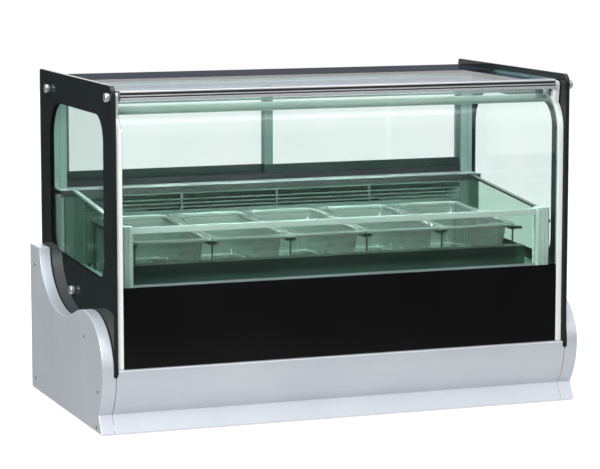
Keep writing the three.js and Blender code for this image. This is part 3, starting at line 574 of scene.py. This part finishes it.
def side_glass(label, side):
    """A slab whose faces are black print round a clear window."""
    g = GLASS
    rear, front = 8, 20
    outline = [(g["front"], g["bottom"]), (g["rear"], g["bottom"])]
    outline += arc(g["rear"] - rear, g["top"] - rear, rear, rear, 0, 90, 6)
    outline += arc(g["front"] + front, g["top"] - front, front, front, 90, 180, 12)
    window = side_window()
    bm = bmesh.new()
    outer_rings = []
    for x in (g["inner"], g["outer"]):
        rim = [bm.verts.new(place(side * x, y, z)) for y, z in outline]
        hole = [bm.verts.new(place(side * x, y, z)) for y, z in window]
        edges = [bm.edges.new((ring[i - 1], ring[i])) for ring in (rim, hole) for i in range(len(ring))]
        bmesh.ops.triangle_fill(bm, use_beauty=True, use_dissolve=False, edges=edges)
        inside = set(hole)
        stray = [f for f in bm.faces if all(v in inside for v in f.verts)]
        bmesh.ops.delete(bm, geom=stray, context="FACES_ONLY")
        bm.faces.new(hole).material_index = 1
        outer_rings.append(rim)
    bridge(bm, *outer_rings, material=2)
    show("side_pane_" + label, bm, [SIDE_PRINT, SIDE_CLEAR, DARK_EDGE], ["side_glass_" + label], bevel=0.7)


def glass_bolt(place_name, label, side):
    """A knob on the side glass: a thin washer, a short dark groove and a domed head."""
    y, z = BOLTS[place_name]
    name = place_name + "_" + label
    base = [(5.8, -8), (5.8, -0.3), (7.6, -0.3), (7.9, 0), (7.9, 0.8), (7.2, 1), (7.2, 1.8)]
    cap = [(8.9, 2), (9.6, 2.7), (9.6, 8.4), (9.2, 9.6), (8.2, 10.7), (5.6, 11.6), (2.8, 11.9), (0.6, 12)]
    bm = bmesh.new()
    turned(bm, base + cap, place(side * (GLASS["outer"] + GAP), y, z), (side, 0, 0))
    show("dome_bolt_" + name, bm, [BOLT_STEEL], ["glass_bolt_" + name])


def roof_glass():
    """A slab across the top, clear at the front and printed dark over its rear part."""
    r = ROOF
    low, high = r["bottom"], r["top"]
    section = ((-INSIDE, low), (INSIDE, low), (INSIDE, high), (-INSIDE, high))
    bm = bmesh.new()
    rings = [[bm.verts.new(place(x, y, z)) for x, z in section] for y in (r["front"], r["band"], r["rear"])]
    for k, (first, second) in enumerate(zip(rings, rings[1:])):
        for i in range(4):
            j = (i + 1) % 4
            face = bm.faces.new((first[i], first[j], second[j], second[i]))
            face.material_index = 2 if i in (1, 3) else k
    for ring in (rings[0], rings[2]):
        bm.faces.new(ring).material_index = 2
    show("roof_pane", bm, [ROOF_CLEAR, ROOF_PRINT, GREEN_EDGE], ["top_glass"], bevel=0.6)


def pane_line(offset):
    """The front pane's line from its foot to its tail, with its face moved inwards by offset."""
    p = PANE
    steps = 30
    turn = math.radians(p["turn"])
    radius = p["radius"] - offset
    centre = p["front"] + p["radius"]
    bend = arc(centre, p["bend_z"], radius, radius, 180, 180 - p["turn"], steps)
    tail = (bend[-1][0] + p["tail"] * math.sin(turn), bend[-1][1] + p["tail"] * math.cos(turn))
    return [(centre - radius, p["bottom"]), (centre - radius, PRINT_TOP), *bend, tail]


def front_pane():
    """A bent pane with a black band across its foot."""
    half = TRIM["inner"] - GAP
    outer, inner = pane_line(0), pane_line(PANE["thick"])
    bm = bmesh.new()
    rings = []
    for x in (-half, half):
        rings.append([[bm.verts.new(place(x, y, z)) for y, z in line] for line in (outer, inner)])
    for face_line in (0, 1):
        for i in range(len(outer) - 1):
            left, right = rings[0][face_line], rings[1][face_line]
            face = bm.faces.new((left[i], left[i + 1], right[i + 1], right[i]))
            face.material_index = 1 if i == 0 else 0
    for left_outer, left_inner in (rings[0], rings[1]):
        for i in range(len(outer) - 1):
            face = bm.faces.new((left_outer[i], left_outer[i + 1], left_inner[i + 1], left_inner[i]))
            face.material_index = 2
    for i in (0, -1):
        ends = (rings[0][0][i], rings[1][0][i], rings[1][1][i], rings[0][1][i])
        bm.faces.new(ends).material_index = 2
    show("bent_front_pane", bm, [CLEAR_GLASS, BLACK_PRINT, GREEN_EDGE], ["front_glass"], bevel=0.5)


def pane_head_rail():
    """The channel that grips the pane's upper edge from inside, with a thinner strip along its foot."""
    p = PANE
    centre = p["front"] + p["radius"]

    def strip(first, last, tail, outer, inner):
        """A strip on the bend's inner side between two angles, and on along the pane's straight end."""
        turn = math.radians(last)
        sides = []
        for depth in (outer, inner):
            radius = p["radius"] - depth
            side = arc(centre, p["bend_z"], radius, radius, 180 - first, 180 - last, 6)
            if tail:
                y, z = side[-1]
                side.append((y + tail * math.sin(turn), z + tail * math.cos(turn)))
            sides.append(side)
        return sides[0] + sides[1][::-1]

    half = TRIM["inner"] - 1
    thick = p["thick"]
    bm = bmesh.new()
    # The thin strip takes the bright mint copy and the channel a darker one: painted light and shade.
    prism_x(bm, strip(60, 63.6, 0, thick + 0.1, thick + 2.6), -half, half, material=1)
    prism_x(bm, strip(64, p["turn"], 26, thick + 0.1, thick + 3.2), -half, half)
    show("pane_head_rail", bm, [BRIGHT_LIT_METAL, INNER_METAL], body="front_pane", bevel=0.5)


def pane_trim(label, side):
    """The pale strip down an end of the front pane, and its arm up to the pivot."""
    outer, inner = pane_line(-TRIM["proud"]), pane_line(TRIM["thick"] - TRIM["proud"])
    x0, x1 = span(side, TRIM["inner"], TRIM["outer"])
    bm = bmesh.new()
    prism_x(bm, outer + inner[::-1], x0, x1)
    eye = arc(PIVOT["y"], PIVOT["z"], PIVOT["eye"], PIVOT["eye"], -20, 200, 24)
    foot = [(PIVOT["y"] - 4, 661), (40, 669)]
    prism_x(bm, eye + foot, x0 + 0.6, x1 - 0.6)
    show("pane_trim_" + label, bm, [BRIGHT_TRIM], ["glass_trim_" + label], bevel=1.2, segments=3)


def top_profile():
    """The ribbed extrusion over the front edge, with dark inserts in its two grooves."""
    front, rear, foot, top = PROFILE["front"], PROFILE["rear"], PROFILE["bottom"], PROFILE["top"]
    floor_y = front + PROFILE["deep"]
    outline = [(front + 2, foot), (front, foot + 2)]
    for low, high in GROOVES:
        outline += [(front, low), (floor_y, low + 0.2), (floor_y, high - 0.2), (front, high)]
    outline += [(front, top - 1.5), (front + 2, top), (rear - 2.5, top), (rear, top - 1.5), (rear, foot)]
    ends = TRIM["inner"] - 1
    bm = bmesh.new()
    prism_x(bm, outline, -ends, ends)
    seat_front, seat_rear = rear + 0.5, 64
    seat_foot, seat_top = foot - 2.5, ROOF["bottom"] - 0.5
    seat = [(seat_front, seat_foot), (seat_rear, seat_foot), (seat_rear, seat_top), (seat_front, seat_top)]
    prism_x(bm, seat, -INSIDE, INSIDE)
    for face in bm.faces:
        if all(v.co.z > (top - 0.1) * MM for v in face.verts):
            face.material_index = 1
    for _, side in SIDES:
        inner, outer = sorted((side * ends, side * (TRIM["outer"] - 1.5)))
        prism_x(bm, arc(PIVOT["y"], PIVOT["z"], PIVOT["stud"], PIVOT["stud"], 0, 345, 23), inner, outer)
    show("ribbed_top_profile", bm, [PROFILE_METAL, PROFILE_TOP], ["top_front_profile"], bevel=0.5)
    bm = bmesh.new()
    proud, deep = front + 1.4, floor_y - 0.1
    for low, high in GROOVES:
        low, high = low + 0.3, high - 0.3
        prism_x(bm, [(proud, low), (deep, low), (deep, high), (proud, high)], -ends, ends)
    show("profile_inserts", bm, [RUBBER], bevel=0.3)


# ---- inner guard, pans and rack --------------------------------------------------------------------------


def guard_channel():
    """The aluminium channel that holds the inner front glass at its foot."""
    low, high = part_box("inner_front_glass")
    y0, y1 = (low.y - TOE_Y) / MM, (high.y - TOE_Y) / MM
    z0 = low.z / MM
    half = high.x / MM
    outline = [(y0 - 3, z0), (y1 + 3, z0), (y1 + 3, z0 + 6), (y1 + 0.4, z0 + 6), (y1 + 0.4, z0 + 0.05),
               (y0 - 0.4, z0 + 0.05), (y0 - 0.4, z0 + 6), (y0 - 3, z0 + 6)]
    bm = bmesh.new()
    prism_x(bm, outline, -half, half)
    show("guard_channel", bm, [ALUMINIUM], bevel=0.3)


def guard_bumpers():
    """Two small rubber bumpers on the outer side of each front post."""
    profile = [(2, -1), (3.2, 0), (3.8, 1), (3.8, 5), (3, 6.2), (1, 6.4)]
    bm = bmesh.new()
    for _, side in SIDES:
        for z in BUMPER["heights"]:
            turned(bm, profile, place(side * BUMPER["x"], BUMPER["y"], z), (side, 0, 0), 24)
    show("guard_bumpers", bm, [RUBBER])


def on_rack(x, y, z):
    """A point of the tilted rack, in millimetres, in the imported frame."""
    tilt = RACK["tilt"]
    back = RACK["y"] + y * math.cos(tilt) - z * math.sin(tilt)
    up = RACK["z"] + y * math.sin(tilt) + z * math.cos(tilt)
    return place(x, back, up)


def pan(i):
    """A deep clear pan: rolled rim, stacking step, tapered walls and rounded foot."""
    p = PAN
    middle = (i - (p["count"] - 1) / 2) * p["pitch"]
    body_w, body_l = p["width"] - 2 * p["rim"], p["length"] - 2 * p["rim"]
    d, t = p["depth"], p["wall"]

    def ring(width, length, radius, z):
        outline = rounded(-width / 2, width / 2, -length / 2, length / 2, radius)
        return [on_rack(middle + x, y + p["length"] / 2, z) for x, y in outline]

    # Each row: what the body or the rim is wider and longer by, the corners' radius, and the height.
    outside = [(-22, 14, -d), (-14, 20, -d + 1.2), (-9, 23, -d + 5), (-3, 26, -36), (-2.4, 26, -30),
               (0, 26, -27), (0, 26, -5), (1.2, 26, -t)]
    rim = [(-4, 12, -t), (-4, 12, -t - 3.6), (-2.4, 13, -t - 4), (0, 14, -t - 3), (0, 14, -1.6),
           (-1, 13.6, -0.4), (-3, 12.6, 0)]
    mouth_rows = [(2, 24, 0), (-3, 23, -1)]
    inner_rows = [(0, 23, -4), (0, 23, -26), (-2.4, 23, -29), (-3, 23, -36), (-9, 20, -d + 7.5),
                  (-14, 17, -d + 4), (-22, 12, -d + t)]
    rings = [ring(body_w + w, body_l + w, r, z) for w, r, z in outside]
    rings += [ring(p["width"] + w, p["length"] + w, r, z) for w, r, z in rim]
    rings += [ring(body_w + w, body_l + w, r, z) for w, r, z in mouth_rows]
    rings += [ring(body_w - 2 * t + w, body_l - 2 * t + w, r, z) for w, r, z in inner_rows]
    lip, mouth = len(outside) + 3, len(outside) + len(rim)
    edges = (1, lip, lip + 1, mouth)
    bm = bmesh.new()
    # The bands at the foot's corner, the rim and the mouth take the milkier plastic: partly thicker plastic,
    # partly painted highlight.
    stack(bm, rings, [1 if k in edges else 0 for k in range(len(rings) - 1)])
    name = "pan_" + str(i + 1)
    show("clear_" + name, bm, [POLYCARBONATE, RIM_PLASTIC], [name])


def chamber_skin():
    """Thin sheets over the foam at the ends of the fan chamber, which the side windows show."""
    c = CHAMBER
    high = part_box("insulation_tub")[1]
    rear, top = (high.y - TOE_Y) / MM, high.z / MM
    bm = bmesh.new()
    for _, side in SIDES:
        outline = [(c["front"], c["foot"]), (rear, c["foot"]), (rear, top), (c["front"], top)]
        prism_x(bm, outline, *sorted((side * (c["outer"] - 0.7), side * c["outer"])))
    face, back, foot = c["front"] - 0.9, c["front"] - 0.3, c["foot"] + 0.6
    for _, side in SIDES:
        ends = span(side, c["inner"], c["outer"])
        prism_x(bm, [(face, foot), (back, foot), (back, c["top"]), (face, c["top"])], *ends)
    show("chamber_skin", bm, [INNER_METAL], bevel=0.2)


# ---- carried-over shapes ---------------------------------------------------------------------------------


def in_lower_rail(face):
    """Whether a door frame's face belongs to its lower rail."""
    return face.calc_center_median().z < DOOR_RAIL_TOP * MM


def faces_up(face):
    return face.normal.z > 0.5


def upright(face):
    return abs(face.normal.z) < 0.5


def carried_over():
    """The CAD nodes whose shape is already right, with rounded edges and materials; several take lit or
    shaded copies of one metal, which paint light and shade.
    """
    plain = ["base_chassis", "rear_service_panel", "lamp", "door_sill_track",
             "condenser_fan_motor", "evaporator_fan_motor", "condenser_fan",
             "evaporator_fan", "mains_inlet", "compressor", "condenser_coil"]
    for node in plain:
        finished(node, bevel=0.35)
    # Painted shade: the evaporator is made dark behind the louvre.
    finished("evaporator_coil", DARK_FINS, bevel=0.35)
    finished("door_head_track", INNER_METAL, bevel=0.35)
    # The rail's front takes the brightest copy, painted light, and its faces that look up the dimmer one,
    # painted shade.
    two_tone("inner_front_rail", BRIGHT_LIT_METAL, DIM_LIT_METAL, faces_up)
    # The liner takes the brightest mint copy and the louvre the darkest: painted light and shade.
    finished("tank_liner", BRIGHT_LIT_METAL, bevel=0.35)
    finished("air_louvre", SHADED_MINT_METAL, bevel=0.35)
    # The right side rail is darker than the left: painted shade on the side away from the key light.
    finished("inner_side_rail_left", INNER_METAL)
    finished("inner_side_rail_right", SHADED_STEEL)
    # Painted shade: the rack is made dark steel.
    finished("pan_rack", SHADED_STEEL, bevel=0.35)
    # The tub's upright walls have a metal skin over the foam.
    two_tone("insulation_tub", FOAM, GALVANISED, upright)
    # Its faces that look up take the paler steel: a painted highlight on the ledge's top.
    two_tone("rear_worktop", STAINLESS, HIGHLIT_STEEL, faces_up)
    for label, _ in SIDES:
        # The rear uprights take a dimmer mint copy and the front posts the brightest: painted shade and
        # light.
        finished("rear_upright_" + label, DIM_LIT_METAL)
        finished("inner_post_" + label, BRIGHT_LIT_METAL)
        # The frames take the darkest mint copy and their lower rails the dark steel: painted shade.
        two_tone("door_frame_" + label, SHADED_MINT_METAL, SHADED_STEEL, in_lower_rail, cut=DOOR_RAIL_TOP)
        finished("door_pane_" + label, GREEN_GLASS, bevel=0.4)
        finished("inner_side_glass_" + label, GUARD_GLASS, bevel=0.4)
    finished("inner_front_glass", GREEN_GLASS, bevel=0.4)
    for node in ("thermostat_knob", "power_switch", "light_switch"):
        finished(node, bevel=0.6, segments=3)


# ---- stage -----------------------------------------------------------------------------------------------

# The room's brightness from straight down (0) through the horizon (0.5) to straight up (1).
ROOM = ((0, 0.8), (0.35, 0.6), (0.405, 0.2), (0.415, 0.05), (0.5, 0.04), (0.56, 0.2), (0.75, 0.7), (1, 1.2))
FLOOR_GLOW = 0.64  # how brightly the floor shines for the camera alone
MINT_LIGHT = (0.84, 1, 0.94)  # the colour of the light inside the case
FLOOR_HALF = 9  # metres
CAMERA = {"place": (-1.9427, -5.1804, 1.1047), "yaw": 20.547, "pitch": 7.642, "lens": 150.13}


def camera():
    data = bpy.data.cameras.new("camera")
    data.lens = CAMERA["lens"]
    data.sensor_width = 36
    data.clip_end = 60
    holder = bpy.data.objects.new("camera", data)
    yaw, pitch = math.radians(CAMERA["yaw"]), math.radians(CAMERA["pitch"])
    holder.location = CAMERA["place"]
    holder.rotation_euler = (math.pi / 2 - pitch, 0, -yaw)
    bpy.context.scene.collection.objects.link(holder)
    bpy.context.scene.camera = holder


def white_floor():
    """A pale floor that looks white, as a studio sweep does, but throws little light back up."""
    nodes = Nodes("white_floor")
    shader = nodes.principled(Emission_Color=(1, 1, 1, 1), Specular_IOR_Level=0.0)
    slow = nodes.grain(3)
    path = nodes.add("ShaderNodeLightPath")
    glow = nodes.add("ShaderNodeMath", operation="MULTIPLY")
    glow.inputs[1].default_value = FLOOR_GLOW
    nodes.join(nodes.colours(slow, srgb(186, 187, 188), srgb(190, 191, 192)), shader.inputs["Base Color"])
    nodes.join(nodes.ranged(slow, 0.75, 0.85), shader.inputs["Roughness"])
    nodes.join(path.outputs["Is Camera Ray"], glow.inputs[0])
    nodes.join(glow.outputs["Value"], shader.inputs["Emission Strength"])
    nodes.join(shader.outputs["BSDF"], nodes.output.inputs["Surface"])
    return nodes.material


def floor():
    half = FLOOR_HALF
    bm = bmesh.new()
    corners = ((-half, -half), (half, -half), (half, half), (-half, half))
    bm.faces.new([bm.verts.new((x, y, 0)) for x, y in corners])
    mesh = bpy.data.meshes.new("floor")
    bm.to_mesh(mesh)
    bm.free()
    plane = bpy.data.objects.new("floor", mesh)
    mesh.materials.append(white_floor())
    bpy.context.scene.collection.objects.link(plane)
    plane.visible_glossy = False


def softbox(name, location, target, size, power, colour=(1, 1, 1)):
    """A rectangular light aimed at target, in metres and watts."""
    data = bpy.data.lights.new(name, "AREA")
    data.shape = "RECTANGLE"
    data.size, data.size_y = size
    data.energy = power
    data.color = colour
    lamp = bpy.data.objects.new(name, data)
    lamp.location = location
    aim = Vector(target) - Vector(location)
    lamp.rotation_euler = aim.to_track_quat("-Z", "Y").to_euler()
    bpy.context.scene.collection.objects.link(lamp)
    return lamp


def backdrop():
    """White for the eye, and a dimmer room, brightest overhead, for whatever is lit by it or mirrors it."""
    world = bpy.data.worlds.new("studio")
    bpy.context.scene.world = world
    world.use_nodes = True
    tree = world.node_tree
    tree.nodes.clear()
    kinds = {"output": "OutputWorld", "path": "LightPath", "white": "Background", "room": "Background",
             "mix": "MixShader", "seen": "Math", "place": "TexCoord", "axes": "SeparateXYZ",
             "shift": "MapRange", "ramp": "ValToRGB"}
    node = {key: tree.nodes.new("ShaderNode" + kind) for key, kind in kinds.items()}
    node["white"].inputs["Color"].default_value = (1, 1, 1, 1)
    node["shift"].inputs["From Min"].default_value = -1
    node["seen"].operation = "ADD"
    node["seen"].use_clamp = True
    ramp = node["ramp"].color_ramp
    for position, level in ROOM:
        stop = ramp.elements[0] if position == 0 else ramp.elements[-1] if position == 1 else None
        stop = stop or ramp.elements.new(position)
        stop.color = (level, level, level, 1)
    join = tree.links.new
    join(node["place"].outputs["Generated"], node["axes"].inputs["Vector"])
    join(node["axes"].outputs["Z"], node["shift"].inputs["Value"])
    join(node["shift"].outputs["Result"], node["ramp"].inputs["Fac"])
    join(node["ramp"].outputs["Color"], node["room"].inputs["Color"])
    join(node["path"].outputs["Is Camera Ray"], node["seen"].inputs[0])
    join(node["path"].outputs["Is Transmission Ray"], node["seen"].inputs[1])
    join(node["seen"].outputs["Value"], node["mix"].inputs["Fac"])
    join(node["room"].outputs["Background"], node["mix"].inputs[1])
    join(node["white"].outputs["Background"], node["mix"].inputs[2])
    join(node["mix"].outputs["Shader"], node["output"].inputs["Surface"])


def lights():
    """A key from the left, a weak fill, a top light, a card behind the glass, and two lights in the case."""
    softbox("key_left", (-2.6, -2.6, 2.2), (0, 0, 0.3), (1.6, 1.6), 125)
    softbox("fill_right", (2.6, -2.6, 1.6), (0, 0, 0.3), (1.4, 1.4), 5)
    softbox("overhead", (0, -0.4, 2.8), (0, 0, 0.4), (2.6, 2.0), 32)
    card = softbox("back_card", (0.4, 1.6, 0.75), (0.4, 0, 0.75), (2.2, 1.5), 11)
    card.visible_camera = False
    inside = (("case_light", place(0, 100, 690), place(0, 250, 300), (0.9, 0.03), 9),
              ("tank_light", place(0, 250, 268), place(0, 251, 400), (0.86, 0.3), 3.6))
    for name, location, target, size, power in inside:
        strip = softbox(name, location, target, size, power, MINT_LIGHT)
        strip.visible_camera = False
        strip.visible_glossy = False


# ---- build -----------------------------------------------------------------------------------------------

bpy.context.scene.view_settings.view_transform = "Standard"
camera()
floor()
backdrop()
lights()

carried_over()
front_fascia()
feet()
roof_glass()
front_pane()
top_profile()
guard_channel()
guard_bumpers()
pane_head_rail()
chamber_skin()
for label, side in SIDES:
    cheek_cover(label, side)
    cheek_gasket(label, side)
    cheek_screws(label, side)
    side_glass(label, side)
    pane_trim(label, side)
    for bolt in BOLTS:
        glass_bolt(bolt, label, side)
for number in range(PAN["count"]):
    pan(number)
